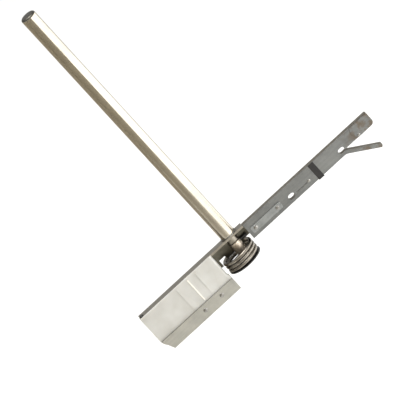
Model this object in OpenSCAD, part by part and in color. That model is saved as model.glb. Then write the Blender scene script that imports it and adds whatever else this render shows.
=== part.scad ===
// Sprung fork lever on a rod, with an insulator block: an electrode holder for a burner.
// Origin: rod axis, at the shoulder where the rod meets its washer. +Z up the rod, +X along the arm to its fork,
// -Y the open front of the cradle. Millimetres.

/* [Rod] */
// Diameter of the rod
rod_d = 6; // [5:0.1:7]
// Height of the rod's free end above the flange
rod_h = 109.9; // [60:0.1:160]
// Diameter of the turned-down journal
journal_d = 3; // [2.6:0.1:3.2]
// Wall of the sleeve and of the collar on the journal
sleeve_wall = 0.65; // [0.5:0.05:0.8]
// Thickness of the washer under the rod's shoulder
washer_t = 0.3; // [0.2:0.05:0.5]

/* [Cradle bracket] */
// Sheet thickness
sheet = 0.8; // [0.6:0.05:1]
// Depth of the top flange, front to back
flange_depth = 4.8; // [4.4:0.1:5.4]
// Distance of the flange's front edge from the rod axis
front_y = 3; // [2.6:0.1:3.2]
// Free end of the cradle, from the rod axis
cradle_end = 42.9; // [36:0.1:52]
// Inner end of the insulator, from the rod axis
cradle_start = 9.5; // [9:0.1:11]
// Height of the cradle, flange to underside of the clip
cradle_h = 16.3; // [13:0.1:20]
// Height of the back wall over the coil
neck_h = 5.3; // [4.6:0.1:5.6]
// Height of the tongue that reaches down inside the coil
tongue_h = 6.6; // [5.6:0.1:7.5]

/* [Insulator] */
// How far the insulator stands out of the cradle's free end
insulator_out = 0.3; // [0.1:0.1:2]
// How far the insulator's face stands in front of the flange
insulator_proud = 0.9; // [0.6:0.1:1.2]
// Radius of the insulator's lower free corner
insulator_corner = 5; // [3:0.5:6]
// Height of the clip's front lip
lip_h = 4.9; // [3:0.05:6]
// Bore of the lead socket
socket_bore = 2; // [1.6:0.1:2.4]

/* [Fork arm] */
// Thickness of the flat arm
arm_t = 2.5; // [2:0.1:3]
// Height of the arm
arm_h = 6.55; // [5.9:0.05:7.2]
// Inner end of the arm, from the rod axis
arm_start = 6; // [5.9:0.1:7]
// Tip of the straight tine, from the rod axis
arm_tip = 65; // [60:0.5:80]
// Height of the straight tine
tine_h = 4.95; // [4.4:0.05:5.3]
// Centre of the relief slot at the fork's root, from the rod axis
root_x = 49.7; // [46:0.1:54]
// Splay of the prong below the arm
prong_angle = 33; // [25:1:40]
// Length of the prong past its bend
prong_len = 12.4; // [8:0.1:14]
// Length of each oblong slot
slot_len = 2.8; // [2:0.1:3.4]
// Height of each oblong slot
slot_h = 2; // [1.4:0.1:2.4]
// Centre of the plain slot, from the rod axis
slot_x = 25.8; // [24:0.1:30]
// Middle of the marker band, from the rod axis
band_x = 38.2; // [36.5:0.1:44]

/* [Spring] */
// Diameter of the spring's wire
wire_d = 1.35; // [1.2:0.05:1.6]
// Mean radius of the coil
coil_r = 6.1; // [5.6:0.05:6.2]
// Sideways set of the coil from the rod axis
coil_shift = 1.6; // [1:0.1:1.8]

/* [Hidden] */
$fn = 48;
eps = 0.01;
run_fit = 0.05;      // radial running clearance on the journal
rest_gap = 0.05;     // gap between pieces that rest on each other
bend_r = 0.9;        // outer radius of the sheet's bends

journal_r = journal_d / 2;
sleeve_r = journal_r + sleeve_wall;
back_y = flange_depth - front_y;          // outer face of the back wall
wall_y = back_y - sheet;                  // inner face of the back wall
knuckle_r = sleeve_r + 0.3;               // bore of the knuckle round the sleeve

arm_back = front_y - arm_t;               // arm spans -front_y to -arm_back
tab_y = -arm_back + rest_gap;             // front face of the joggled tab

// spring leg: leaves the coil on a tangent and bears on the back of the tab
wire_r = wire_d / 2;
leg_x = 15;
leg_y = tab_y + sheet + rest_gap + wire_r;
leg_z = -3.4;
leg_dist = norm([leg_x + coil_shift, leg_y]);
leg_angle = atan2(leg_y, leg_x + coil_shift) + acos(coil_r / leg_dist);
tang = [-coil_shift - coil_r, 0];         // where the coil's lower end turns down
coil_steps = 26;                          // points in one turn of the coil
wire_sides = 10;

// stack below the flange
collar_len = 2.3;
pin_d = 1.2;
sleeve_top = -sheet - collar_len - 0.3;
pin_z = sleeve_top - 0.9;
pin_reach = 5.2;
start_angle = -180;                       // the coil starts on the cradle's side
turns = 2 + (leg_angle - start_angle) / 360;
pitch = wire_d + 0.1;
coil_top = -(neck_h + 0.35 + wire_r);
coil_bottom = coil_top - turns * pitch;
disc_t = 0.4;
disc_top = coil_bottom - wire_r - rest_gap;
disc_bottom = disc_top - disc_t;
disc_r = coil_r + wire_r + 0.1;
ring_t = 0.5;
journal_end = disc_bottom - ring_t - 0.5;

// insulator
face_y = front_y + insulator_proud;
block_left = cradle_end + insulator_out;
clip_t = 0.65;
lip_y = face_y + rest_gap + clip_t;
block_bottom = cradle_h - clip_t - rest_gap;
conductor_y = -1.4;
conductor_z = -7.6;
conductor_r = 0.8;
socket_r = socket_bore / 2 + 0.8;
socket_len = 8;
button_r = 1.3;
button_t = 0.8;
rib_x = [17.8, 21.5, 26.6];               // moulded cross ribs, from the rod axis
rib_w = 0.5;
rib_proud = 0.2;

// clip rivets, measured from the rod axis and up from the clip's underside
clip_rivet_x = [16, 23.8];
clip_rivet_z = -cradle_h + 2.8;
clip_rivet_r = 0.5;
corner_x = cradle_end - 0.9;
corner_y = -front_y + 0.95;
corner_r = 0.5;

// arm
slot_z = -4.4;
tab_start = arm_start + 1.25;
tab_end = 21;
tab_top = 0.9;
tab_h = arm_h - 0.65;
plate_x = [7.2, 21.2];
plate_h = 2.6;
plate_z = -3.9;
plate_t = 0.2;
arm_rivet_r = 0.55;
arm_head_r = arm_rivet_r + 0.3;
arm_rivet_x = [tab_start + sheet + arm_head_r + 0.1, 19.4];  // the first clears the joggle
guide_x = 34;
guide_r = 0.5;
band_w = 2.4;
band_t = 0.3;
tip_plate_x = arm_tip - 9;
tip_plate_t = 0.25;
tip_rivet_x = arm_tip - 7;
tip_rivet_z = -tine_h + 0.65;
tip_rivet_r = 0.45;
tine_corner = 1.6;
bend_x = root_x - 0.5;                    // where the prong starts to bend away
slit = 0.15;
prong_h = arm_h - tine_h - slit;
prong_bend = 3.2;                         // inner radius of the prong's bend

// pieces are drawn from the flange's top face, which lies one washer below the rod's shoulder
module lowered() {
    translate([0, 0, -washer_t]) children();
}

// a 2D outline in the XZ plane made a plate from y0 (front) to y1 (back)
module plate_xz(y0, y1) {
    translate([0, y1, 0]) rotate([90, 0, 0]) linear_extrude(y1 - y0) children();
}

module slot_2d(x, z) {
    side = (slot_len - slot_h) / 2;
    translate([x - side, z]) circle(d = slot_h);
    translate([x + side, z]) circle(d = slot_h);
    translate([x - side, z - slot_h / 2]) square([2 * side, slot_h]);
}

module along_y(x, z, r, y0, y1) {
    translate([x, y1, z]) rotate([90, 0, 0]) cylinder(r = r, h = y1 - y0);
}

// low domed rivet head with its flat side on y, its crown towards the front
module front_head(x, z, r, y, h) {
    translate([x, y, z]) rotate([90, 0, 0]) rotate_extrude() head_profile(r, h);
}

module head_profile(r, h) {
    square([r - h / 2, h]);
    square([r, h / 2]);
    translate([r - h / 2, h / 2]) circle(r = h / 2);
}

module electrode_rod() {
    tip_r = 1;
    lead_in = 0.3;
    groove = 0.4;
    lowered() color("tan") difference() {
        rotate_extrude() {
            polygon([
                [0, journal_end], [journal_r - lead_in, journal_end], [journal_r, journal_end + lead_in],
                [journal_r, disc_bottom - ring_t - rest_gap],
                [journal_r - groove, disc_bottom - ring_t - rest_gap],
                [journal_r - groove, disc_bottom], [journal_r, disc_bottom],
                [journal_r, washer_t], [rod_d / 2, washer_t],
                [rod_d / 2, rod_h - tip_r], [rod_d / 2 - tip_r, rod_h - tip_r],
                [rod_d / 2 - tip_r, rod_h], [0, rod_h]]);
            translate([rod_d / 2 - tip_r, rod_h - tip_r]) circle(r = tip_r);
        }
        stop_pin_shape(pin_d / 2, -10, 10);
    }
}

module shoulder_washer() {
    lowered() color("silver") rotate_extrude()
        translate([journal_r + run_fit, rest_gap]) square([rod_d / 2 + 0.25 - journal_r, washer_t - rest_gap]);
}

// the pin is turned until it meets the back wall near its free end
module stop_pin_shape(r, x0, x1) {
    turn = asin((wall_y - pin_d / 2 - rest_gap) / pin_reach);
    rotate([0, 0, turn]) translate([x0, 0, pin_z]) rotate([0, 90, 0]) cylinder(r = r, h = x1 - x0);
}

module stop_pin() {
    lowered() color("dimgray") stop_pin_shape(pin_d / 2, -sleeve_r, pin_reach);
}

module mandrel_sleeve() {
    lowered() color("peru") difference() {
        translate([0, 0, disc_top]) cylinder(r = sleeve_r, h = sleeve_top - disc_top);
        translate([0, 0, disc_top - 1]) cylinder(r = journal_r, h = 20);
        stop_pin_shape(pin_d / 2, -10, 10);
    }
}

// disc pressed on the journal and set over with the coil: its rim centres the coil from the inside,
// and its notch holds the coil's lower end
module anchor_disc() {
    notch_r = wire_r + 0.1;
    rim_r = coil_r - wire_r - 0.25;
    lowered() color("dimgray") difference() {
        translate([-coil_shift, 0, disc_bottom]) {
            cylinder(r = disc_r, h = disc_t);
            difference() {
                cylinder(r = rim_r, h = disc_t + 1.3);
                translate([0, 0, disc_t]) cylinder(r = rim_r - 0.8, h = 2);
            }
        }
        translate([0, 0, disc_bottom - 1]) cylinder(r = journal_r, h = disc_t + 2);
        translate([tang[0], tang[1], disc_bottom - 1]) cylinder(r = notch_r, h = disc_t + 2);
        translate([tang[0] - disc_r, tang[1] - notch_r, disc_bottom - 1])
            cube([disc_r, 2 * notch_r, disc_t + 2]);
    }
}

module retaining_ring() {
    mouth = 1.8;
    lowered() color("dimgray") difference() {
        translate([0, 0, disc_bottom - ring_t]) cylinder(r = journal_r + 1.3, h = ring_t - rest_gap);
        translate([0, 0, disc_bottom - 2]) cylinder(r = journal_r - 0.35, h = 4);
        translate([0, -mouth / 2, disc_bottom - 2]) cube([10, mouth, 4]);
    }
}

// points of the wire's centre line: tang, coil, leg
function coil_point(i) = let (a = 360 * i / coil_steps, at = a + start_angle)
    [coil_r * cos(at) - coil_shift, coil_r * sin(at), coil_bottom + pitch * a / 360];
coil_count = ceil(turns * coil_steps);
coil_path = [for (i = [0:coil_count]) coil_point(i * turns * coil_steps / coil_count)];
tang_path = [[tang[0], tang[1], disc_bottom], [tang[0], tang[1], disc_top + 0.1]];
leg_path = [[leg_x, leg_y, leg_z]];
wire_path = concat(tang_path, coil_path, leg_path);

function unit(v) = v / norm(v);
function tangent(p, i) = unit(p[min(i + 1, len(p) - 1)] - p[max(i - 1, 0)]);
// a side direction that stays level, so the sweep never twists
function across(t) = let (s = cross(t, [0, 0, 1])) norm(s) < 0.2 ? [1, 0, 0] : unit(s);

module sweep_wire(path, r, sides) {
    last = len(path) - 1;
    points = [for (i = [0:last]) let (t = tangent(path, i), a = across(t), b = cross(a, t))
        for (k = [0:sides - 1]) path[i] + r * (cos(360 * k / sides) * a + sin(360 * k / sides) * b)];
    walls = [for (i = [0:last - 1]) for (k = [0:sides - 1]) let (n = (k + 1) % sides)
        [i * sides + k, i * sides + n, (i + 1) * sides + n, (i + 1) * sides + k]];
    ends = [[for (k = [sides - 1:-1:0]) k], [for (k = [0:sides - 1]) last * sides + k]];
    polyhedron(points, concat(walls, ends));
}

module torsion_spring() {
    lowered() color("gray") sweep_wire(wire_path, wire_r, wire_sides);
}

// cross-section of the pressed sheet: a flange with a back wall of the given height
module sheet_profile(h) {
    difference() {
        union() {
            translate([-front_y, -sheet]) square([flange_depth - bend_r, sheet]);
            translate([wall_y, -h]) square([sheet, h - bend_r]);
            translate([back_y - bend_r, -bend_r]) circle(r = bend_r);
            translate([wall_y - bend_r, -bend_r]) square([bend_r, bend_r]);
        }
        translate([wall_y - 3, -sheet - 3]) square([3, 3]);
    }
}

module sheet_run(x0, x1, h) {
    translate([x0, 0, 0]) rotate([90, 0, 90]) linear_extrude(x1 - x0) sheet_profile(h);
}

module cradle_bracket() {
    neck_end = arm_start - 0.15;
    joggle = tab_start + sheet - neck_end;
    lowered() color("darkkhaki") difference() {
        union() {
            sheet_run(-cradle_end, -cradle_start, cradle_h - clip_t - 0.1);
            sheet_run(-cradle_start, neck_end, neck_h);
            plate_xz(wall_y, back_y) neck_outline();
            knuckle();
            // joggle: the back wall runs on, steps forward and lies behind the arm
            plate_xz(wall_y, back_y) translate([neck_end, -neck_h]) square([joggle, neck_h - tab_top]);
            plate_xz(tab_y, back_y) translate([tab_start, -neck_h]) square([sheet, neck_h - tab_top]);
            plate_xz(tab_y, tab_y + sheet) translate([tab_start, -tab_h])
                square([tab_end - tab_start, tab_h - tab_top]);
        }
        translate([0, 0, -20]) cylinder(r = journal_r + run_fit, h = 30);
        translate([0, 0, -20]) cylinder(r = knuckle_r, h = 20 - sheet);
        translate([-corner_x, corner_y, -5]) cylinder(r = corner_r, h = 10);
        // the back wall's lower free corner is cut off, to lie behind the insulator's round one
        plate_xz(0, back_y + 1) polygon([[-cradle_end - 1, -cradle_h], [-cradle_end + insulator_corner, -cradle_h],
            [-cradle_end - 1, -cradle_h + insulator_corner + 1]]);
        for (x = arm_rivet_x) along_y(x, plate_z, arm_rivet_r, -5, 5);
        for (x = clip_rivet_x) along_y(-x, clip_rivet_z, clip_rivet_r, -8, 8);
    }
}

// the back wall at the pivot: a tongue inside the coil, and a longer foot outside it
module neck_outline() {
    coil_edge = coil_shift + coil_r + wire_r + 0.15;
    inner = coil_r - wire_r - 0.8;
    foot_h = tongue_h + 1.3;
    translate([-coil_shift - inner + 0.3, -tongue_h]) square([2 * inner - 0.3, tongue_h - 1]);
    if (coil_edge < cradle_start)
        translate([-cradle_start, -foot_h]) square([cradle_start - coil_edge, foot_h - 1]);
}

// half-round swelling of the back wall round the sleeve, with its ear in the flange
module knuckle() {
    outer = knuckle_r + sheet;
    intersection() {
        translate([0, 0, -tongue_h]) cylinder(r = outer, h = tongue_h);
        translate([-outer, wall_y, -tongue_h]) cube([2 * outer, outer, tongue_h]);
    }
}

module pivot_collar() {
    lowered() color("lightslategray") rotate_extrude() difference() {
        union() {
            translate([journal_r + run_fit, -sheet - collar_len + 0.3])
                square([sleeve_wall - run_fit, collar_len - 0.3 - rest_gap / 5]);
            translate([journal_r + run_fit, -sheet - collar_len]) square([sleeve_wall - run_fit - 0.3, 0.4]);
            translate([sleeve_r - 0.3, -sheet - collar_len + 0.3]) circle(r = 0.3);
        }
        translate([0, -9]) square([journal_r + run_fit, 9]);
    }
}

// outline of the insulator's face: a straight inner end and a rounded lower free corner
module block_outline(top) {
    side = block_left - cradle_start;
    difference() {
        translate([-block_left, -block_bottom]) square([side, block_bottom - top]);
        translate([-block_left - 1, -block_bottom - 1]) square([insulator_corner + 1, insulator_corner + 1]);
    }
    translate([insulator_corner - block_left, insulator_corner - block_bottom]) circle(r = insulator_corner);
}

module insulator_block() {
    edge = 1.1;
    lowered() color("whitesmoke") difference() {
        union() {
            // body behind the flange's edge, and a front that rises in front of it
            intersection() {
                plate_xz(-face_y, wall_y - rest_gap) block_outline(sheet + rest_gap);
                translate([0, 0, -20]) linear_extrude(22) block_plan(edge);
            }
            intersection() {
                plate_xz(-face_y, -front_y - rest_gap) block_outline(0.05);
                translate([0, 0, -20]) linear_extrude(22) block_plan(edge);
            }
            for (x = rib_x) plate_xz(-face_y - rib_proud, -face_y + 0.1)
                translate([-x - rib_w / 2, -block_bottom + lip_h]) square([rib_w, block_bottom - lip_h - 1]);
        }
        along_x(-block_left - 1, -cradle_start - button_t + eps, conductor_r);
        along_x(-block_left - 1, -block_left + socket_len, socket_r);
        along_x(-cradle_start - button_t, 0, button_r);
        translate([-corner_x, corner_y, -3]) cylinder(r = corner_r, h = 10);
        for (x = clip_rivet_x) along_y(-x, clip_rivet_z, clip_rivet_r, -8, 8);
    }
}

// plan of the insulator, with a rounded upright edge at its inner end
module block_plan(edge) {
    translate([-block_left - 1, -face_y]) square([block_left - cradle_start + 1 - edge, 12]);
    translate([-cradle_start - edge - eps, -face_y + edge]) square([edge + eps, 12]);
    translate([-cradle_start - edge, -face_y + edge]) circle(r = edge);
}

module along_x(x0, x1, r) {
    translate([x0, conductor_y, conductor_z]) rotate([0, 90, 0]) cylinder(r = r, h = x1 - x0);
}

module conductor_pin() {
    lowered() color("silver") along_x(-block_left + socket_len, -cradle_start - button_t, conductor_r);
}

module lead_socket() {
    lowered() color("gold") difference() {
        along_x(-block_left, -block_left + socket_len, socket_r);
        along_x(-block_left - 1, -block_left + socket_len - 1, socket_bore / 2);
    }
}

module contact_button() {
    lowered() color("gold") along_x(-cradle_start - button_t, -cradle_start, button_r);
}

module lower_clip() {
    skew = 2.1;
    right = cradle_start - 0.3;
    back_leg = back_y + rest_gap;
    lowered() color("gainsboro") difference() {
        union() {
            plate_xz(-lip_y, -lip_y + clip_t) clip_outline(skew, right);
            plate_xz(-lip_y, back_leg + clip_t)
                translate([-cradle_end + skew, -cradle_h]) square([cradle_end - skew - right, clip_t]);
            plate_xz(back_leg, back_leg + clip_t)
                translate([-cradle_end + skew, -cradle_h]) square([cradle_end - skew - right, lip_h]);
        }
        for (x = clip_rivet_x) along_y(-x, clip_rivet_z, clip_rivet_r, -8, 8);
    }
}

module clip_outline(skew, right) {
    polygon([[-cradle_end + skew, -cradle_h], [-right, -cradle_h],
        [-right, -cradle_h + lip_h], [-cradle_end, -cradle_h + lip_h]]);
}

module clip_rivets() {
    head_h = 0.3;
    tail_y = back_y + rest_gap + clip_t;
    lowered() color("dimgray") for (x = clip_rivet_x) {
        along_y(-x, clip_rivet_z, clip_rivet_r, -lip_y - eps, tail_y + 0.3);
        front_head(-x, clip_rivet_z, clip_rivet_r + 0.35, -lip_y, head_h);
        mirror([0, 1, 0]) front_head(-x, clip_rivet_z, clip_rivet_r + 0.25, -tail_y, head_h);
    }
}

module corner_rivet() {
    head_h = 0.6;
    lowered() color("black") translate([-corner_x, corner_y, 0]) {
        translate([0, 0, -3]) cylinder(r = corner_r, h = 3 + eps);
        rotate_extrude() head_profile(corner_r + 0.35, head_h);
    }
}

// outline of the flat arm: slit at its end into a straight tine and a splayed prong
module arm_outline() {
    difference() {
        union() {
            translate([arm_start, -arm_h]) square([bend_x - arm_start, arm_h]);
            tine_outline();
            prong_outline();
        }
        slot_2d(slot_x, slot_z);
        slot_2d(root_x, slot_z);
    }
}

module tine_outline() {
    top_corner = 0.5;
    reach = arm_tip - bend_x + 1;
    translate([bend_x - 1, -tine_h]) square([reach - tine_corner, tine_h]);
    translate([bend_x - 1, -tine_h + tine_corner]) square([reach, tine_h - tine_corner - top_corner]);
    translate([bend_x - 1, -top_corner]) square([reach - top_corner, top_corner]);
    translate([arm_tip - top_corner, -top_corner]) circle(r = top_corner);
    translate([arm_tip - tine_corner, -tine_h + tine_corner]) circle(r = tine_corner);
}

// the prong: rooted in the arm, a short bend, then a straight run with a chamfered end
module prong_outline() {
    root = 0.9;
    chamfer = 0.3;
    bend_steps = 6;
    angles = [for (i = [0:bend_steps]) i * prong_angle / bend_steps];
    run = [cos(prong_angle), -sin(prong_angle)];
    low_end = bend_point(prong_bend, prong_angle) + prong_len * run;
    high_end = bend_point(prong_bend + prong_h, prong_angle) + prong_len * run;
    up = (high_end - low_end) / prong_h;
    polygon(concat(
        [[bend_x - root, -arm_h + prong_h], [bend_x - root, -arm_h]],
        [for (a = angles) bend_point(prong_bend, a)],
        [low_end - chamfer * run, low_end + chamfer * up, high_end - chamfer * up, high_end - chamfer * run],
        [for (i = [bend_steps:-1:0]) bend_point(prong_bend + prong_h, angles[i])]));
}

// a point of the prong's bend, on the arc of radius r that starts upright over the bend's centre
function bend_point(r, a) = [bend_x + r * sin(a), -arm_h - prong_bend + r * cos(a)];

module fork_arm() {
    groove_d = 0.15;
    groove_h = 0.3;
    groove_start = slot_x + slot_len / 2 + 0.8;
    lowered() color("lightslategray") difference() {
        plate_xz(-front_y, -arm_back) arm_outline();
        for (x = arm_rivet_x) along_y(x, plate_z, arm_rivet_r, -5, 5);
        along_y(guide_x, slot_z, guide_r, -5, 5);
        along_y(tip_rivet_x, tip_rivet_z, tip_rivet_r, -5, 5);
        plate_xz(-front_y - 1, -front_y + groove_d)
            translate([groove_start, slot_z - groove_h / 2])
                square([guide_x - guide_r - 0.5 - groove_start, groove_h]);
    }
}

module blank_plate() {
    corner = 0.4;
    wide = plate_x[1] - plate_x[0];
    lowered() color("gainsboro") difference() {
        plate_xz(-front_y - rest_gap - plate_t, -front_y - rest_gap)
            translate([plate_x[0], plate_z - plate_h / 2]) rounded_2d(wide, plate_h, corner);
        for (x = arm_rivet_x) along_y(x, plate_z, arm_rivet_r, -5, 5);
    }
}

module rounded_2d(w, h, r) {
    translate([r, 0]) square([w - 2 * r, h]);
    translate([0, r]) square([w, h - 2 * r]);
    for (x = [r, w - r], z = [r, h - r]) translate([x, z]) circle(r = r);
}

module arm_rivets() {
    head_h = 0.25;
    face = front_y + rest_gap + plate_t;
    tail = tab_y + sheet;
    lowered() color("silver") for (x = arm_rivet_x) {
        along_y(x, plate_z, arm_rivet_r, -face - eps, tail + eps);
        front_head(x, plate_z, arm_head_r, -face, head_h);
        mirror([0, 1, 0]) front_head(x, plate_z, arm_head_r, -tail, head_h);
    }
}

module guide_rivet() {
    lowered() color("white") union() {
        along_y(guide_x, slot_z, guide_r, -front_y - eps, -arm_back);
        front_head(guide_x, slot_z, guide_r + 0.15, -front_y, 0.2);
    }
}

module marker_band() {
    x0 = band_x - band_w / 2;
    low = arm_h + rest_gap + band_t;
    lowered() color("black") {
        plate_xz(-front_y - rest_gap - band_t, -front_y - rest_gap)
            translate([x0, -low]) square([band_w, low - 0.15]);
        plate_xz(-front_y - rest_gap - band_t, -arm_back + rest_gap + band_t)
            translate([x0, -low]) square([band_w, band_t]);
        plate_xz(-arm_back + rest_gap, -arm_back + rest_gap + band_t)
            translate([x0, -low]) square([band_w, low - 0.15]);
    }
}

// wear plate on the straight tine, with a rounded inner end
module tip_plate() {
    inset = 0.1;
    end_r = (tine_h - inset) * 0.75;
    lowered() color("silver") difference() {
        plate_xz(-front_y - rest_gap - tip_plate_t, -front_y - rest_gap) intersection() {
            union() {
                translate([tip_plate_x + end_r, -tine_h - 1]) square([arm_tip - tip_plate_x - end_r - inset, 8]);
                translate([tip_plate_x + end_r, -tine_h / 2]) circle(r = end_r);
            }
            tine_outline();
            translate([tip_plate_x - 1, -tine_h]) square([20, tine_h - inset]);
        }
        along_y(tip_rivet_x, tip_rivet_z, tip_rivet_r, -5, 5);
    }
}

module tip_rivet() {
    face = front_y + rest_gap + tip_plate_t;
    lowered() color("white") union() {
        along_y(tip_rivet_x, tip_rivet_z, tip_rivet_r, -face - eps, -arm_back);
        front_head(tip_rivet_x, tip_rivet_z, tip_rivet_r + 0.15, -face, 0.2);
    }
}

electrode_rod();
shoulder_washer();
stop_pin();
mandrel_sleeve();
anchor_disc();
retaining_ring();
torsion_spring();
cradle_bracket();
pivot_collar();
insulator_block();
conductor_pin();
lead_socket();
contact_button();
lower_clip();
clip_rivets();
corner_rivet();
fork_arm();
blank_plate();
arm_rivets();
guide_rivet();
marker_band();
tip_plate();
tip_rivet();
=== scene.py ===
# %% [markdown]
# This file finishes a burner's ignition electrode on its sprung lever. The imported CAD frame
# holds every size and every moving part. What is added here is the surface of each piece:
# ground rod, pressed sheet, wound wire and fired ceramic. The pieces could be drawn again from
# nothing, but then they could drift from the frame, so the frame is loaded first and measured.

# %% Load the frame
import math

import bmesh
import bpy
from mathutils import Matrix, Vector


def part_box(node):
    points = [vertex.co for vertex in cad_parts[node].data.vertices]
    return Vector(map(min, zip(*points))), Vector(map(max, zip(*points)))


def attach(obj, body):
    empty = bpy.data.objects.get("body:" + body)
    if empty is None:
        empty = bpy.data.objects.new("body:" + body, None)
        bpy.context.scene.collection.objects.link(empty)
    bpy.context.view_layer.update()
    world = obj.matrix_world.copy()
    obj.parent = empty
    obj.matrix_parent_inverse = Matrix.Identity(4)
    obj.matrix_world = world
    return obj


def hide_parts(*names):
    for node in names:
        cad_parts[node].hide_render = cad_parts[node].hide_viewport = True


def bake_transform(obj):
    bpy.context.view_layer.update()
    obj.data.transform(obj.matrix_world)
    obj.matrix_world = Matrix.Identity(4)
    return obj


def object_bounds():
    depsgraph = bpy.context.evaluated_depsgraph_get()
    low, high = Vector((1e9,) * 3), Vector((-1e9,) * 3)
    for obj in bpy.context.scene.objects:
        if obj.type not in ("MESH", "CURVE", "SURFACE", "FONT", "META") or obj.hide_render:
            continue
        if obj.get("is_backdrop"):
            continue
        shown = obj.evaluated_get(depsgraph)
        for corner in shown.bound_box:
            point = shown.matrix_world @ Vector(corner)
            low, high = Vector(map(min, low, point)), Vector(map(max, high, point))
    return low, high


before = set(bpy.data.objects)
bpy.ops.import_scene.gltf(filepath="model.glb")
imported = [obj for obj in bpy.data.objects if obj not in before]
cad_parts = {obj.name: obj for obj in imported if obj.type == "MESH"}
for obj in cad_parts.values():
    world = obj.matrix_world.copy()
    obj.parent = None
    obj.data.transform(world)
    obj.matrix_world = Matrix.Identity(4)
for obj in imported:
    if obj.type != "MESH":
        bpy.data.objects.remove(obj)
cad_low, cad_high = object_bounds()
MM = 0.001
print("frame box in mm:", [round(v / MM, 1) for v in (*cad_low, *cad_high)])

# %% [markdown]
# Colours are written as sRGB hex, the way a colour picker shows them. Shaders work in linear
# light, so one function turns the one into the other. Node trees could be clicked together in
# the editor. One small function that adds a node, sets it and links it keeps them readable as
# text.

# %% Colour and node helpers
def linear(hex_code):
    channels = [int(hex_code[i:i + 2], 16) / 255 for i in (1, 3, 5)]
    return [c / 12.92 if c <= 0.04045 else ((c + 0.055) / 1.055) ** 2.4 for c in channels] + [1]


def add(tree, kind, inputs=None, **settings):
    """Adds a node. An input is linked if it is another node's output, and set if it is a value."""
    node = tree.nodes.new(kind)
    for name, value in settings.items():
        setattr(node, name, value)
    for key, value in (inputs or {}).items():
        if isinstance(value, bpy.types.NodeSocket):
            tree.links.new(value, node.inputs[key])
        else:
            node.inputs[key].default_value = value
    return node


# The Mix node has one set of sockets for each data type. These are its colour ones.
MIX_FACTOR, MIX_A, MIX_B, MIX_COLOUR = 0, 6, 7, 2
print("mid grey #808080 is", round(linear("#808080")[0], 3), "in linear light")

# %% [markdown]
# The camera stands well back with a long lens, as for a catalogue shot, so the rod and the
# lever keep their true proportions. It looks along +Y from 18 degrees above, and is rolled
# so that the lever climbs to the right and the rod to the left. The object could be tilted
# instead, but then its frame and its joint would tilt with it.

# %% Camera
ELEVATION = math.radians(18)
ROLL = math.radians(42.5)
DISTANCE = 4.0
FIELD = 141.2 * MM
SENSOR = 36
aim = Vector((1.0, 0, 16.3)) * MM

forward = Vector((0, math.cos(ELEVATION), -math.sin(ELEVATION)))
level_right = Vector((1, 0, 0))
level_up = level_right.cross(forward)
right = math.cos(ROLL) * level_right - math.sin(ROLL) * level_up
up = math.sin(ROLL) * level_right + math.cos(ROLL) * level_up

camera_data = bpy.data.cameras.new("catalogue_camera")
camera_data.sensor_width = SENSOR
camera_data.lens = SENSOR * DISTANCE / FIELD
camera_data.clip_start = 1
camera_data.clip_end = 20
camera = bpy.data.objects.new("catalogue_camera", camera_data)
facing = Matrix((right, up, -forward)).transposed().to_4x4()
camera.matrix_world = Matrix.Translation(aim - forward * DISTANCE) @ facing
bpy.context.scene.collection.objects.link(camera)
bpy.context.scene.camera = camera
print("lens", round(camera_data.lens), "mm at", DISTANCE, "m")

# %% [markdown]
# Every material starts as an empty node tree and ends in one shader and one output. The
# floor and the cards need nothing more than a colour and a roughness, so they are made by
# the shortest function that can do it.

# %% Start and end a material
def material(name):
    made = bpy.data.materials.new(name)
    made.use_nodes = True
    made.node_tree.nodes.clear()
    return made


def finish_with(made, shader):
    add(made.node_tree, "ShaderNodeOutputMaterial", {"Surface": shader.outputs[0]})
    return made


def plain(name, hex_code, roughness):
    made = material(name)
    return finish_with(made, add(made.node_tree, "ShaderNodeBsdfPrincipled", {
        "Base Color": linear(hex_code), "Roughness": roughness}))


floor_paint = plain("floor_white_paint", "#f6f6f4", 0.7)
olive_felt = plain("flag_olive_felt", "#a8a191", 0.9)
print("stage paints:", floor_paint.name, "and", olive_felt.name)

# %% [markdown]
# Bare metal shows what stands around it. The pale floor lies well below the object, so its
# shadow is too soft to see. An olive card on the left gives the dark side of the rod its
# depth. In a studio such a card is called a flag. It could be one curved screen, but two flat
# grids do the same and are simpler. The camera doesn't see them.

# %% Floor and flags
FLOOR_DROP = 130 * MM
FLOOR_SIZE = (14, 14)
CARD_HEIGHT = 0.26
CARD_LIFT = 5 * MM
FLAG_DISTANCE = 0.40
FLAGS = (("flag_left_front", -75, 12), ("flag_left_back", -150, -75))
floor_height = cad_low.z - FLOOR_DROP
card_middle = floor_height + CARD_HEIGHT / 2 + CARD_LIFT


def card(name, place, facing, size, paint):
    """A flat card for the stage, turned to face a point."""
    mesh = bpy.data.meshes.new(name)
    shape = bmesh.new()
    bmesh.ops.create_grid(shape, x_segments=1, y_segments=1, size=0.5)
    bmesh.ops.scale(shape, vec=(size[0], size[1], 1), verts=shape.verts)
    turned = (Vector(place) - Vector(facing)).to_track_quat("-Z", "Y").to_matrix().to_4x4()
    shape.transform(Matrix.Translation(place) @ turned)
    shape.to_mesh(mesh)
    shape.free()
    mesh.materials.append(paint)
    made = bpy.data.objects.new(name, mesh)
    bpy.context.scene.collection.objects.link(made)
    made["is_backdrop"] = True
    return made


def around(azimuth, distance, height):
    """A place round the object. Azimuth 0 is the camera's side, and it grows to the right."""
    turn = math.radians(azimuth)
    return (distance * math.sin(turn), -distance * math.cos(turn), height)


def span(first, last, distance):
    """The width of a card that covers the directions from one azimuth to another."""
    return 2 * distance * math.tan(math.radians(last - first) / 2)


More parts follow.
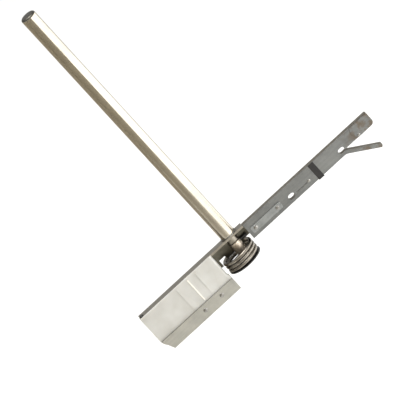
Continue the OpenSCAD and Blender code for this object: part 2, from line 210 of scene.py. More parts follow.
card("floor", (0, 0, floor_height), (0, 0, floor_height - 1), FLOOR_SIZE, floor_paint)
for name, first, last in FLAGS:
    flag = card(name, around((first + last) / 2, FLAG_DISTANCE, card_middle), (0, 0, card_middle),
                (span(first, last, FLAG_DISTANCE), CARD_HEIGHT), olive_felt)
    flag.visible_camera = False
    flag.visible_shadow = False

# %% [markdown]
# A soft white dome lights the ground and fills the shadows. Two panels low on the right give
# the rod its one long highlight, and a broad light overhead keeps the top faces pale. One
# ready-made surround could light the scene too, but plain panels can be moved one at a time.

# %% Dome and soft lights
DOME_STRENGTH = 0.62
PANEL_DISTANCE, PANEL_WATTS = 0.42, 0.75
PANELS = (("panel_right_front", 14, 66), ("panel_right_side", 66, 122))
TOP_PLACE, TOP_SIZE, TOP_WATTS = (0.1, -0.2, 1.6), (1.2, 1.2), 29

world = bpy.data.worlds.new("white_dome")
bpy.context.scene.world = world
world.use_nodes = True
world.node_tree.nodes.clear()
dome = add(world.node_tree, "ShaderNodeBackground", {
    "Color": linear("#ffffff"), "Strength": DOME_STRENGTH})
add(world.node_tree, "ShaderNodeOutputWorld", {"Surface": dome.outputs[0]})


def soft_light(name, place, aimed_at, size, watts):
    data = bpy.data.lights.new(name, "AREA")
    data.shape = "RECTANGLE"
    data.size, data.size_y = size
    data.energy = watts
    made = bpy.data.objects.new(name, data)
    away = Vector(place) - Vector(aimed_at)
    made.matrix_world = Matrix.Translation(place) @ away.to_track_quat("Z", "Y").to_matrix().to_4x4()
    bpy.context.scene.collection.objects.link(made)


for name, first, last in PANELS:
    soft_light(name, around((first + last) / 2, PANEL_DISTANCE, card_middle), (0, 0, card_middle),
               (span(first, last, PANEL_DISTANCE), CARD_HEIGHT), PANEL_WATTS)
soft_light("top_light", TOP_PLACE, (0, 0, 0), TOP_SIZE, TOP_WATTS)
bpy.context.scene.view_settings.view_transform = "Standard"
print("lights:", [light.name for light in bpy.data.lights])

# %% [markdown]
# A brown tint is mixed into the strip towards the fork's end, in uneven clouds: a painted
# reflection of the bent tine in the shiny strip. The tint could be painted by hand. Mixing it
# in by the place along X, broken up by a noise, puts it in the same place on every part that uses it.

# %% Tint a metal with a painted reflection
TINT_CLOUD_MM = 2.5                       # size of the clouds in the painted tint
TINT_LOW, TINT_HIGH = 0.42, 0.6


def reflection_tinted(tree, place, colour, reflection):
    """Mixes in a brown tint, a painted reflection. Its last argument holds the colour, the places
    along X in mm where it begins and is full, and its strength."""
    tint, begins, full, strength = reflection
    along = add(tree, "ShaderNodeSeparateXYZ", {"Vector": place})
    reach = add(tree, "ShaderNodeMapRange", {
        "Value": along.outputs["X"], "From Min": begins * MM, "From Max": full * MM,
        "To Max": strength})
    cloud = add(tree, "ShaderNodeTexNoise", {
        "Vector": place, "Scale": 1 / (TINT_CLOUD_MM * MM), "Detail": 3, "Roughness": 0.6})
    cloudy = add(tree, "ShaderNodeMapRange", {
        "Value": cloud.outputs["Fac"], "From Min": TINT_LOW, "From Max": TINT_HIGH})
    amount = add(tree, "ShaderNodeMath", {0: reach.outputs[0], 1: cloudy.outputs[0]},
                 operation="MULTIPLY")
    return add(tree, "ShaderNodeMix", {
        MIX_FACTOR: amount.outputs[0], MIX_A: colour.outputs[MIX_COLOUR], MIX_B: linear(tint)},
        data_type="RGBA")


print("heat tint in clouds of", TINT_CLOUD_MM, "mm")

# %% [markdown]
# Every metal here is bare and worn by handling. A flat colour would look like paint, so each
# metal has the same three layers: a base colour that drifts in soft patches, a roughness
# broken up by the same patches, and a fine grain whose direction follows how the piece was
# made. Two noise patterns make all three. Their scales are given in millimetres.

# %% One function for bare metals
GRAIN_SHARE = 0.35                        # how much of the wear follows the grain, not the patches
WEAR_LOW, WEAR_HIGH = 0.3, 0.7            # the part of the noise that is stretched to full contrast
ROUGHER, SMOOTHER = 0.08, 0.04            # dark patches are this much rougher, pale ones smoother


def metal(name, dark, light, roughness, patch_mm, grain, depth_mm, reflection=None):
    """grain is the spacing of the grain along X, Y and Z in mm. heat, a painted reflection tint, goes
    on to reflection_tinted.
    """
    made = material(name)
    tree = made.node_tree
    place = add(tree, "ShaderNodeTexCoord").outputs["Object"]
    patches = add(tree, "ShaderNodeTexNoise", {
        "Vector": place, "Scale": 1 / (patch_mm * MM), "Detail": 4, "Roughness": 0.6})
    stretched = add(tree, "ShaderNodeMapping", {
        "Vector": place, "Scale": [1 / (g * MM) for g in grain]})
    lines = add(tree, "ShaderNodeTexNoise", {
        "Vector": stretched.outputs[0], "Scale": 1, "Detail": 3, "Roughness": 0.55})
    wear = add(tree, "ShaderNodeMix", {
        "Factor": GRAIN_SHARE, "A": patches.outputs["Fac"], "B": lines.outputs["Fac"]},
        data_type="FLOAT")
    spread = add(tree, "ShaderNodeMapRange", {
        "Value": wear.outputs[0], "From Min": WEAR_LOW, "From Max": WEAR_HIGH})
    colour = add(tree, "ShaderNodeMix", {
        MIX_FACTOR: spread.outputs[0], MIX_A: linear(dark), MIX_B: linear(light)},
        data_type="RGBA")
    if reflection:
        colour = reflection_tinted(tree, place, colour, reflection)
    rough = add(tree, "ShaderNodeMapRange", {
        "Value": spread.outputs[0], "To Min": roughness + ROUGHER, "To Max": roughness - SMOOTHER})
    bump = add(tree, "ShaderNodeBump", {
        "Height": lines.outputs["Fac"], "Strength": 1, "Distance": depth_mm * MM})
    return finish_with(made, add(tree, "ShaderNodeBsdfPrincipled", {
        "Base Color": colour.outputs[MIX_COLOUR], "Metallic": 1, "Roughness": rough.outputs[0],
        "Normal": bump.outputs[0]}))


print("a metal's wear follows its grain by", GRAIN_SHARE)

# %% [markdown]
# The rod is centreless-ground steel, straw coloured from heat, and the crown of its rounded
# tip is painted dark as shade. Its grain runs round it, which the eye sees as a highlight
# with slightly frayed edges. Anisotropy could fake the rings. A stretched noise also shows them where
# the highlight isn't.

# %% Rod finishes
# Real grinding lines are hundredths of a millimetre apart. 0.35 mm is the finest that shows.
turned_steel = metal("ground_steel_rod", "#a39c8e", "#bcb5a8", 0.17, 14, (40, 40, 0.35), 0.0008)
# Painted shade on the rod's rounded tip: dark, dull and crusty, with no direction to its 0.5 mm grain.
shaded_tip = metal("painted_shade_rod_tip", "#3c3a35", "#6b685f", 0.38, 0.8, (0.5, 0.5, 0.5), 0.004)
print("rod finishes:", turned_steel.name, "and", shaded_tip.name)

# %% [markdown]
# The lever is made of rolled metal, and rolling leaves a faint grain along the sheet. Real
# rolling lines are far finer than half a millimetre, but that is as narrow as shows. They are
# stretched to several millimetres along X. A texture for each part could hold them too, but
# the parts would then need unwrapping.

# %% Sheet and strip finishes
# Pressed sheet, dull zinc: soft mottling about 5 mm across, with a faint grain.
zinc_sheet = metal("dull_zinc_sheet", "#7d776c", "#a09a8e", 0.36, 5, (6, 0.5, 0.5), 0.003)
# Cold-rolled strip: a grey satin along the strip, and towards the fork's end a brown tint, a painted
# reflection of the bent tine.
rolled_strip = metal("cold_rolled_strip", "#666766", "#818280", 0.33, 7, (9, 0.4, 0.4), 0.003,
                     reflection=("#5c4a34", 51, 57, 0.6))
# Painted shade on the sheet at the pivot, where the channel's inside lies in shadow: the same grain
# under a deep, slightly green brown.
pivot_shade_sheet = metal("painted_shade_pivot_sheet", "#4a483f", "#67645a", 0.34, 3, (6, 0.5, 0.5), 0.003)
# Sheared edges are left bare: rougher and browner than the face, with marks across the cut.
sheared_edge = metal("sheared_strip_edge", "#5e584c", "#8a8478", 0.42, 2, (0.6, 3, 0.6), 0.006)
# Bright zinc plate on the clip: the palest metal, with the least grain.
bright_zinc = metal("bright_zinc_plate", "#9a9993", "#b8b6ae", 0.30, 6, (7, 0.6, 0.6), 0.002)
# Zinc plated marking plate: nearly the strip's grey, a little paler.
pale_plate = metal("pale_marking_plate", "#7e807f", "#979998", 0.36, 3, (5, 0.5, 0.5), 0.002)
print("sheet and strip finishes:", [made.name for made in (
    zinc_sheet, rolled_strip, pivot_shade_sheet, sheared_edge, bright_zinc, pale_plate)])

# %% [markdown]
# The small parts are drawn, sintered, headed or turned. Each way of making leaves its own
# mark: draw lines, open pores, hammered patches, lathe rings. They are too small to read one
# by one, but they decide how sharp the highlight on each part is.

# %% Wire, bearing, rivet and contact finishes
# Drawn wire: smooth and oiled, with brown left between the turns.
spring_wire = metal("drawn_spring_wire", "#5e574d", "#a39d93", 0.25, 3, (1.2, 1.2, 0.3), 0.003)
# Sintered bronze: pale and pinkish. Its 0.1 mm pores are drawn at 0.25 mm, so that they show.
sintered_bronze = metal("sintered_bronze", "#b3a593", "#e0d5c6", 0.4, 1.2, (0.25, 0.25, 0.25), 0.008)
# Headed steel: small dull patches from the punch and from handling.
rivet_steel = metal("dull_rivet_steel", "#6f6d69", "#a5a39e", 0.30, 1.5, (0.4, 0.4, 0.4), 0.003)
# Turned brass: yellow and fairly bright. Lathe rings of 0.05 mm are drawn at 0.25 mm.
turned_brass = metal("turned_brass", "#a9813f", "#dcb878", 0.27, 2.5, (0.25, 3, 3), 0.002)
print("materials so far:", len([m for m in bpy.data.materials if m.use_nodes]))

# %% [markdown]
# Black oxide is a thin, slightly oily coat on steel, and the band is moulded black rubber.
# Neither shows bare metal, so both are made without the metallic setting: one fine grit
# drives the colour and the bump. The real grit is too fine to show, so it is drawn at 0.6 mm
# and 0.3 mm. The oxide is smoother, and keeps a soft highlight that the rubber doesn't have.

# %% Coated and moulded finishes
GRIT_LOW, GRIT_HIGH = 0.35, 0.7


def coated(name, dark, light, roughness, patch_mm, depth_mm):
    made = material(name)
    tree = made.node_tree
    place = add(tree, "ShaderNodeTexCoord").outputs["Object"]
    grit = add(tree, "ShaderNodeTexNoise", {
        "Vector": place, "Scale": 1 / (patch_mm * MM), "Detail": 5, "Roughness": 0.6})
    spread = add(tree, "ShaderNodeMapRange", {
        "Value": grit.outputs["Fac"], "From Min": GRIT_LOW, "From Max": GRIT_HIGH})
    colour = add(tree, "ShaderNodeMix", {
        MIX_FACTOR: spread.outputs[0], MIX_A: linear(dark), MIX_B: linear(light)},
        data_type="RGBA")
    bump = add(tree, "ShaderNodeBump", {
        "Height": grit.outputs["Fac"], "Strength": 1, "Distance": depth_mm * MM})
    return finish_with(made, add(tree, "ShaderNodeBsdfPrincipled", {
        "Base Color": colour.outputs[MIX_COLOUR], "Roughness": roughness,
        "Normal": bump.outputs[0]}))


# On the stop pin this black is also painted shade, for the dark inside of the channel.
black_oxide_and_shade = coated("black_oxide_steel_and_shade", "#14130f", "#2c2924", 0.38, 0.6, 0.004)
moulded_rubber = coated("moulded_black_rubber", "#0f0d0b", "#1f1c19", 0.6, 0.3, 0.006)
print("coated finishes:", black_oxide_and_shade.name, "and", moulded_rubber.name)

# %% [markdown]
# The insulator is fired steatite, a white ceramic. Light goes a little way in before it comes
# out, so a white colour alone would look like plaster. Subsurface scattering softens its
# edges, and a thin coat gives the low sheen of its glaze. The middle rib gets a paler copy of
# the finish, a painted highlight along the rib.

# %% Fired finishes
CLOUD_MM = 9                              # clouds left by the firing
PRESSED_GRAIN_MM = 0.35                   # coarser than the real powder, so that it shows
PRESSED_DEPTH_MM = 0.004
CLOUD_LOW, CLOUD_HIGH = 0.35, 0.65


def ceramic(name, shade, body):
    """Off-white and a little translucent, cloudy from the firing, with a fine pressed grain."""
    made = material(name)
    tree = made.node_tree
    place = add(tree, "ShaderNodeTexCoord").outputs["Object"]
    clouds = add(tree, "ShaderNodeTexNoise", {
        "Vector": place, "Scale": 1 / (CLOUD_MM * MM), "Detail": 3, "Roughness": 0.5})
    pressed = add(tree, "ShaderNodeTexNoise", {
        "Vector": place, "Scale": 1 / (PRESSED_GRAIN_MM * MM), "Detail": 2, "Roughness": 0.5})
    spread = add(tree, "ShaderNodeMapRange", {
        "Value": clouds.outputs["Fac"], "From Min": CLOUD_LOW, "From Max": CLOUD_HIGH})
    colour = add(tree, "ShaderNodeMix", {
        MIX_FACTOR: spread.outputs[0], MIX_A: linear(shade), MIX_B: linear(body)},
        data_type="RGBA")
    bump = add(tree, "ShaderNodeBump", {
        "Height": pressed.outputs["Fac"], "Strength": 1, "Distance": PRESSED_DEPTH_MM * MM})
    return finish_with(made, add(tree, "ShaderNodeBsdfPrincipled", {
        "Base Color": colour.outputs[MIX_COLOUR], "Roughness": 0.36, "IOR": 1.6,
        "Normal": bump.outputs[0], "Subsurface Weight": 0.3,
        "Subsurface Radius": (1.0, 0.9, 0.75), "Subsurface Scale": 0.8 * MM,
        "Coat Weight": 0.12, "Coat Roughness": 0.3}))


white_ceramic = ceramic("fired_white_steatite", "#bab8b1", "#cac9c4")
rib_highlight_ceramic = ceramic("rib_highlight_steatite", "#e6e0d4", "#f6f1e6")
print("all finishes:", len(bpy.data.materials))

# %% [markdown]
# A finished piece is a mesh with a material that stands in for one CAD node and rides on the
# same body. Smooth shading alone would pull a flat face's shading towards its thin bevels, so
# edges sharper than 18 degrees are marked, and flat faces stay flat.

# %% Turn a shape into a piece
SHARP_ANGLE = math.radians(18)


def new_piece(name, shape, finish, body, node):
    """Puts a finished bmesh in the scene as a piece that stands for one CAD node."""
    mesh = bpy.data.meshes.new(name)
    shape.to_mesh(mesh)
    shape.free()
    mesh.materials.append(finish)
    mesh.polygons.foreach_set("use_smooth", [True] * len(mesh.polygons))
    mesh.set_sharp_from_angle(angle=SHARP_ANGLE)
    made = bpy.data.objects.new(name, mesh)
    bpy.context.scene.collection.objects.link(made)
    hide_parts(node)
    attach(made, body)
    return made


# %% [markdown]
# Sheet and strip parts keep the CAD shape, but a real stamping has no razor edges: tumbling
# rounds them by a tenth of a millimetre, and that thin round is what catches the light. A
# Bevel modifier would also round the CAD mesh's loose triangles, so a copy is merged into
# clean faces first, and only its real edges are bevelled.

# %% Merge and soften
MERGE_DISTANCE = 1e-6
FLAT_ANGLE = math.radians(0.5)


def merged_copy(node):
    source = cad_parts[node]
    shape = bmesh.new()
    shape.from_mesh(source.data)
    shape.transform(source.matrix_world)
    bmesh.ops.remove_doubles(shape, verts=shape.verts, dist=MERGE_DISTANCE)
    bmesh.ops.dissolve_limit(shape, angle_limit=FLAT_ANGLE, verts=shape.verts, edges=shape.edges)
    return shape


def soften(shape, width_mm, steps=2, least_angle=40):
    """Rounds every edge where two faces meet at more than least_angle degrees."""
    limit = math.radians(least_angle)
    hard = [e for e in shape.edges if len(e.link_faces) == 2 and e.calc_face_angle(0) > limit]
    bmesh.ops.bevel(shape, geom=hard, offset=width_mm * MM, offset_type="OFFSET", affect="EDGES",
                    segments=steps, profile=0.5, material=-1, clamp_overlap=True)
    return shape


tried = merged_copy("fork_arm")
print("merging leaves the arm", len(tried.faces), "faces")
tried.free()

# %% [markdown]
# The twelve plain parts go through the same two steps, each with its own edge width: a thick
# strip is rounded more than a thin plate. The bracket gets one more cut across it at the
# pivot, so that the side at the pivot can take its painted shade without a hand-drawn mask.

# %% Soften the plain parts
FLAT_PARTS = {
    # node: (finish, width of the rounded edge in mm, body)
    "cradle_bracket": (zinc_sheet, 0.12, "lever"),
    "fork_arm": (rolled_strip, 0.14, "lever"),
    "lower_clip": (bright_zinc, 0.10, "lever"),
    "marker_band": (moulded_rubber, 0.12, "lever"),
    "blank_plate": (pale_plate, 0.05, "lever"),
    "tip_plate": (rolled_strip, 0.06, "lever"),
    "pivot_collar": (zinc_sheet, 0.05, "lever"),
    "mandrel_sleeve": (sintered_bronze, 0.10, "root"),
    # The stop pin's black stands in for the shaded inside of the channel beside the journal: painted
    # shade.
    "stop_pin": (black_oxide_and_shade, 0.15, "root"),
    "anchor_disc": (black_oxide_and_shade, 0.08, "root"),
    "retaining_ring": (black_oxide_and_shade, 0.05, "root"),
    "shoulder_washer": (rivet_steel, 0.05, "root"),
}
pivot_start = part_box("insulator_block")[1].x
for node, (finish, width_mm, body) in FLAT_PARTS.items():
    shape = merged_copy(node)
    if node == "cradle_bracket":
        bmesh.ops.bisect_plane(shape, geom=shape.verts[:] + shape.edges[:] + shape.faces[:],
                               plane_co=(pivot_start, 0, 0), plane_no=(1, 0, 0))
    piece = new_piece(node + "_finished", soften(shape, width_mm), finish, body, node)
    print(piece.name, len(piece.data.polygons), "faces")

# %% [markdown]
# Three parts sit inside the ceramic: the conductor, the lead's socket and the contact. Little
# more than an end face of each can be seen. They could be softened like the rest, but an edge
# inside a bore catches no light, so they keep the CAD mesh and only get a real metal.

# %% Finish the inner CAD parts
INNER_PARTS = {"conductor_pin": rivet_steel, "lead_socket": turned_brass,
               "contact_button": turned_brass}
for node, finish in INNER_PARTS.items():
    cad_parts[node].data.materials.clear()
    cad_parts[node].data.materials.append(finish)
print("inner parts:", ", ".join(INNER_PARTS))

# %% [markdown]
# Round parts come off a lathe, which cuts one profile as the bar turns. Spinning a profile
# does the same, and gives clean rings where a merged CAD mesh would keep its facets. The
# profile starts and ends on the axis, so the ends close.

# %% Turn a profile
def turned(profile, steps, axis=(0, 0, 1), centre=(0, 0, 0)):
    """Spins a profile of (radius, height) points in mm into a closed solid of revolution."""
    shape = bmesh.new()
    points = [shape.verts.new(Vector((r, 0, z)) * MM) for r, z in profile]
    edges = [shape.edges.new(pair) for pair in zip(points, points[1:])]
    bmesh.ops.spin(shape, geom=points + edges, cent=(0, 0, 0), axis=(0, 0, 1),
                   angle=math.tau, steps=steps, use_merge=True)
    bmesh.ops.remove_doubles(shape, verts=shape.verts, dist=MERGE_DISTANCE)
    bmesh.ops.recalc_face_normals(shape, faces=shape.faces)
    laid = Vector(axis).to_track_quat("Z", "Y").to_matrix().to_4x4()
    shape.transform(Matrix.Translation(Vector(centre)) @ laid)
    return shape


def arc(centre_r, centre_z, radius, start, end, steps):
    """Points of an arc in a profile, from one angle in degrees to the other."""
    angles = [math.radians(start + (end - start) * i / steps) for i in range(steps + 1)]
    return [(centre_r + radius * math.cos(a), centre_z + radius * math.sin(a)) for a in angles]


print("a quarter arc of 8 steps has", len(arc(0, 0, 1, 0, 90, 8)), "points")

# %% [markdown]
# The rod is one turned piece: a long 6 mm shank, a shoulder, and a 3 mm journal for the
# lever with a groove for its retaining ring. Only its lengths come from the frame. A support
# point close to each end of the long shank keeps its shading straight, and the crown of the
# tip gets the dark finish, a painted shade, face by face.

# %% Turn the rod
JOURNAL_R, GROOVE_R, TIP_R, SHOULDER_R = 1.5, 1.1, 1.0, 0.12
LEAD_IN = 0.3                             # chamfer at the journal's end
REST_GAP = 0.05                           # play between parts that only rest on each other
SUPPORT = 0.3
DARK_TIP_SHARE = 0.75                        # how much of the rounded tip is painted dark as shade
ROD_STEPS = 96
rod_low, rod_high = (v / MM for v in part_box("electrode_rod"))
ring_low, ring_high = (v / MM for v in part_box("retaining_ring"))
shank_r = rod_high.x
profile = [(0, rod_low.z), (JOURNAL_R - LEAD_IN, rod_low.z), (JOURNAL_R, rod_low.z + LEAD_IN),
           (JOURNAL_R, ring_low.z), (GROOVE_R, ring_low.z), (GROOVE_R, ring_high.z + REST_GAP),
           (JOURNAL_R, ring_high.z + REST_GAP), (JOURNAL_R, 0)]
profile += arc(shank_r - SHOULDER_R, SHOULDER_R, SHOULDER_R, -90, 0, 6)
profile += [(shank_r, SHOULDER_R + SUPPORT), (shank_r, rod_high.z - TIP_R - SUPPORT)]
profile += arc(shank_r - TIP_R, rod_high.z - TIP_R, TIP_R, 0, 90, 10)
profile += [(0, rod_high.z)]
rod = new_piece("turned_rod", turned(profile, ROD_STEPS), turned_steel, "root", "electrode_rod")
# The faces at the crown take the dark finish: painted shade on the rounded end.
rod.data.materials.append(shaded_tip)
for face in rod.data.polygons:
    if face.center.z > (rod_high.z - TIP_R * DARK_TIP_SHARE) * MM:
        face.material_index = 1
print("rod:", len(rod.data.polygons), "faces,", round(rod_high.z - rod_low.z, 1), "mm long")

# %% [markdown]
# The spring is one length of round wire: an end turned down into the anchor disc's notch,
# about two and three quarter close turns, and a straight leg that bears on the back of the
# arm. The leg leaves the coil as a tangent, so its own end fixes the angle where the coil
# stops. All of this is worked out before any wire is drawn.

# %% Measure the spring
WIRE_R, COIL_R, COIL_SHIFT, PITCH = 0.675, 6.1, 1.6, 1.45
COIL_START = -180                         # degrees: the coil starts on the cradle's side
DISC_SHEET = 0.4                          # thickness of the disc, without its rim
LEG_END = Vector((15, 1.075, -3.7))
disc_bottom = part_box("anchor_disc")[0].z / MM
disc_top = disc_bottom + DISC_SHEET
coil_bottom = disc_top + REST_GAP + WIRE_R
leg_reach = math.hypot(LEG_END.x + COIL_SHIFT, LEG_END.y)
leg_turn = math.degrees(math.atan2(LEG_END.y, LEG_END.x + COIL_SHIFT) + math.acos(COIL_R / leg_reach))
coil_angle = 2 * 360 + leg_turn - COIL_START
coil_rise = PITCH * coil_angle / 360
coil_top = coil_bottom + coil_rise
print("coil:", round(coil_angle / 360, 2), "turns,", round(coil_rise, 2), "mm high")

# %% [markdown]
# A curve with a round bevel could draw the wire, but it has to become a mesh before its place
# is applied. A spin with a small rise at each step sweeps a circle of points along the coil
# and gives a clean tube at once, with open ends that the next cell lengthens.

# %% Sweep the coil
WIRE_SIDES, COIL_STEPS = 16, 150


def on_coil(degrees, height):
    """A place on the coil's centre line in mm, and the direction of the wire there."""
    turn = math.radians(degrees)
    place = Vector((COIL_R * math.cos(turn) - COIL_SHIFT, COIL_R * math.sin(turn), height))
    return place, Vector((-math.sin(turn), math.cos(turn), 0))


def loop_edges(shape, verts):
    inside = set(verts)
    return [e for e in shape.edges if e.verts[0] in inside and e.verts[1] in inside]


start_at, start_way = on_coil(COIL_START, coil_bottom)
shape = bmesh.new()
across = start_way.to_track_quat("Z", "Y").to_matrix().to_4x4()
first = bmesh.ops.create_circle(shape, segments=WIRE_SIDES, radius=WIRE_R * MM, cap_ends=False,
                                matrix=Matrix.Translation(start_at * MM) @ across)["verts"]
swept = bmesh.ops.spin(shape, geom=list(first) + loop_edges(shape, first),
                       cent=Vector((-COIL_SHIFT, 0, coil_bottom)) * MM, axis=(0, 0, 1),
                       dvec=(0, 0, coil_rise / COIL_STEPS * MM), angle=math.radians(coil_angle),
                       steps=COIL_STEPS, use_merge=False)
last = [v for v in swept["geom_last"] if isinstance(v, bmesh.types.BMVert)]
print("coil swept:", len(shape.faces), "faces")

# %% [markdown]
# A spring maker bends both ends after the coil is wound. Here the open ring at each end is
# extruded and turned in two or three short moves, which keeps the wire round in its bends.
# Cropping shears leave a small chamfer, so each end is capped and its cap is inset.

# %% Bend the spring's ends
CROPPED = 0.12                            # chamfer of a cropped end
LEG_OUT, LEG_LIFT, LEG_SHARE = 0.8, 0.06, 0.14
FOOT_BACK, FOOT_DROP = 0.25, 0.12


def lengthen(shape, ring, turn_from, turn_to, to):
    """Extrudes an open ring of wire to a new place in mm and turns it to a new direction."""
    made = bmesh.ops.extrude_edge_only(shape, edges=loop_edges(shape, ring))
    fresh = [v for v in made["geom"] if isinstance(v, bmesh.types.BMVert)]
    middle = sum((v.co for v in fresh), Vector()) / len(fresh)
    bend = Vector(turn_from).rotation_difference(Vector(turn_to)).to_matrix()
    for v in fresh:
        v.co = Vector(to) * MM + bend @ (v.co - middle)
    return fresh


def close_end(shape, ring):
    cap = bmesh.ops.contextual_create(shape, geom=loop_edges(shape, ring))["faces"]
    bmesh.ops.inset_region(shape, faces=cap, thickness=CROPPED * MM, depth=0)


# the upper end bends out a little and runs straight to the back of the arm
leave_at, leave_way = on_coil(COIL_START + coil_angle, coil_top)
leg_way = (LEG_END - leave_at).normalized()
between = (leave_way + leg_way).normalized()
bent = lengthen(shape, last, leave_way, between,
                leave_at + leave_way * LEG_OUT + Vector((0, 0, LEG_LIFT)))
leg = lengthen(shape, bent, between, leg_way, leave_at.lerp(LEG_END, LEG_SHARE))
close_end(shape, lengthen(shape, leg, leg_way, leg_way, LEG_END))

# the lower end bends down through a quarter turn into the disc's notch
down = Vector((0, 0, 1))
slant = (start_way + down).normalized()
bent = lengthen(shape, first, start_way, slant, start_at - FOOT_BACK * start_way - FOOT_DROP * down)
foot = lengthen(shape, bent, slant, down, Vector((start_at.x, start_at.y, disc_top - REST_GAP)))
close_end(shape, lengthen(shape, foot, down, down, Vector((start_at.x, start_at.y, disc_bottom))))
bmesh.ops.recalc_face_normals(shape, faces=shape.faces)
print("spring with its ends:", len(shape.faces), "faces")

# %% [markdown]
# The coil's foot is fixed and its leg rides on the lever, so the spring belongs to neither
# body alone. It is attached to neither body, and its place is baked into its own mesh.

# %% Set the spring in place
WIRE_SHARP_ANGLE = math.radians(50)       # only the cropped ends are sharp
mesh = bpy.data.meshes.new("wound_spring")
shape.to_mesh(mesh)
shape.free()
mesh.materials.append(spring_wire)
mesh.polygons.foreach_set("use_smooth", [True] * len(mesh.polygons))
mesh.set_sharp_from_angle(angle=WIRE_SHARP_ANGLE)
spring = bpy.data.objects.new("wound_spring", mesh)
bpy.context.scene.collection.objects.link(spring)
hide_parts("torsion_spring")
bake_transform(spring)
print("spring:", len(mesh.polygons), "faces")

# %% [markdown]
# The insulator is one pressed and fired block. Its face carries three thin cross ribs, its
# lower free corner is rounded, and every edge has the soft round that a press tool and the
# glaze leave. A merged copy of the CAD solid already has the bores and the ribs in their
# true places, so it is softened with a wider bevel than the metal parts.

# %% Soften the insulator
GLAZED_EDGE_MM = 0.22
RIB_PROUD = 0.2 * MM
MIDDLE_RIB = (-22.0 * MM, -21.0 * MM)
block = soften(merged_copy("insulator_block"), GLAZED_EDGE_MM, steps=3, least_angle=30)
insulator = new_piece("fired_insulator", block, white_ceramic, "lever", "insulator_block")
insulator.data.materials.append(rib_highlight_ceramic)
# The front faces of the middle rib take the paler finish: a painted highlight along the rib.
rib_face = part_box("insulator_block")[0].y + 0.9 * RIB_PROUD
for face in insulator.data.polygons:
    if MIDDLE_RIB[0] < face.center.x < MIDDLE_RIB[1] and face.center.y < rib_face:
        face.material_index = 1
print("insulator:", len(insulator.data.polygons), "faces")

# %% [markdown]
# Rivet heads are closed by a punch with a hollow end, so each is a low dome and never a plain
# disc. Each one is turned from a profile and laid on its own hole. Both heads and the shank
# are one piece, as on the real rivet. A rivet without a tail head has its end dressed flush.

# %% Turn one rivet
DOME_STEPS, RIVET_STEPS = 8, 24
UNDERCUT = 0.98                           # the head's underside starts just inside its rim


def rivet(shape, x, z, shank_r, head_r, head_h, seat, tail, tail_head_r, tail_head_h):
    """Adds a rivet along Y. seat and tail are the Y places of the two gripped faces, in mm."""
    dome = arc(0, 0, 1, 0, 90, DOME_STEPS)
    profile = [(r * head_r, head_h * h) for r, h in reversed(dome)]
    profile += [(head_r * UNDERCUT, 0), (shank_r, 0)]
    reach = tail - seat
    if tail_head_r:
        profile += [(shank_r, -reach), (tail_head_r * UNDERCUT, -reach)]
        profile += [(r * tail_head_r, -reach - tail_head_h * h) for r, h in dome]
    else:
        profile += [(shank_r, -reach), (0, -reach)]
    made = turned(profile, RIVET_STEPS, axis=(0, -1, 0), centre=Vector((x, seat, z)) * MM)
    holder = bpy.data.meshes.new("one_rivet")
    made.to_mesh(holder)
    made.free()
    shape.from_mesh(holder)
    bpy.data.meshes.remove(holder)


print("a rivet's head is a dome of", DOME_STEPS, "rings")

# %% [markdown]
# The rivets differ only in their sizes, so one table and one loop close them all. Their places
# are read from the frame: a pair lies at the two ends of its node's box, and a single one in
# the middle.

# %% Close the rivets
RIVETS = {
    # node: (finish, shank radius, head radius, head height, tail head radius, tail head height, places)
    "clip_rivets": (rivet_steel, 0.5, 0.84, 0.3, 0.74, 0.3, 2),
    "arm_rivets": (rivet_steel, 0.55, 0.84, 0.25, 0.84, 0.25, 2),
    "guide_rivet": (rivet_steel, 0.5, 0.64, 0.2, 0, 0, 1),
    "tip_rivet": (rivet_steel, 0.45, 0.59, 0.2, 0, 0, 1),
}
for node, (finish, rivet_shank_r, head_r, head_h, tail_r, tail_h, places) in RIVETS.items():
    low, high = (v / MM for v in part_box(node))
    middle_z = (low.z + high.z) / 2
    half = (high.z - low.z) / 2
    shape = bmesh.new()
    for x in ([low.x + half, high.x - half] if places == 2 else [(low.x + high.x) / 2]):
        rivet(shape, x, middle_z, rivet_shank_r, head_r, head_h, low.y + head_h, high.y - tail_h,
              tail_r, tail_h)
    piece = new_piece(node + "_closed", shape, finish, "lever", node)
    print(piece.name, len(piece.data.polygons), "faces")

# %% [markdown]
# The corner rivet is different: a black headed pin pressed down through the flange into the
# ceramic, so it stands upright and its crown is taller. It is turned straight from its own
# profile, because the rivet function lays its work along Y.

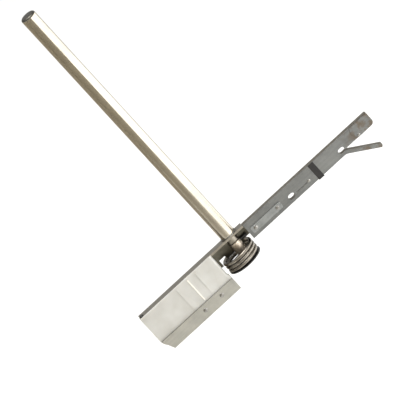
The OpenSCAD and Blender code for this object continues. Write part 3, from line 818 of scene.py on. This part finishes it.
# %% Press in the corner rivet
HEAD_R, HEAD_H, SHANK_R = 0.84, 0.6, 0.5
low, high = (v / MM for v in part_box("corner_rivet"))
seat_z = high.z - HEAD_H
profile = [(HEAD_R * r, seat_z + HEAD_H * h) for r, h in reversed(arc(0, 0, 1, 0, 90, DOME_STEPS))]
profile += [(SHANK_R, seat_z), (SHANK_R, low.z), (0, low.z)]
centre = Vector(((low.x + high.x) / 2, (low.y + high.y) / 2, 0)) * MM
corner = new_piece("corner_rivet_pressed", turned(profile, RIVET_STEPS, centre=centre), black_oxide_and_shade,
                   "lever", "corner_rivet")
print("corner rivet:", len(corner.data.polygons), "faces")

# %% [markdown]
# The strip is sheared to shape, and its cut edges stay bare and go brown. A mask could be
# painted, but on the finished arm these are just the faces that don't look to the front or
# the back, so they are found by their normals and given the second material.

# %% Brown the sheared edges
SIDEWAYS = 0.5                            # a face whose normal has less Y than this is an edge
arm = bpy.data.objects["fork_arm_finished"]
arm.data.materials.append(sheared_edge)
edge_faces = [face for face in arm.data.polygons if abs(face.normal.y) < SIDEWAYS]
for face in edge_faces:
    face.material_index = 1
print("browned faces:", len(edge_faces))

# %% [markdown]
# The sheet under the flange at the pivot gets a darker finish, painted shade for the shadowed
# inside of the channel. The flange's top keeps the plain finish, and so does the back. The cut
# made at the pivot earlier lets whole faces be chosen by their place.

# %% Paint shade on the sheet at the pivot
FLANGE_DROP = 0.75 * MM                   # from under the washer to just above the flange's underside
bracket = bpy.data.objects["cradle_bracket_finished"]
bracket.data.materials.append(pivot_shade_sheet)
under_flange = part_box("shoulder_washer")[0].z - FLANGE_DROP
pivot_shade_faces = [face for face in bracket.data.polygons if face.normal.y < SIDEWAYS
               and face.center.x > pivot_start and face.center.z < under_flange]
for face in pivot_shade_faces:
    face.material_index = 1
print("oiled faces:", len(pivot_shade_faces))

# %% [markdown]
# The finish must not change the size of anything, so the frame's box and the finished model's
# box are written side by side.

# %% Record the sizes and finish
low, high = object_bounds()
print("finished box in mm:", [round(v / MM, 1) for v in (*low, *high)])
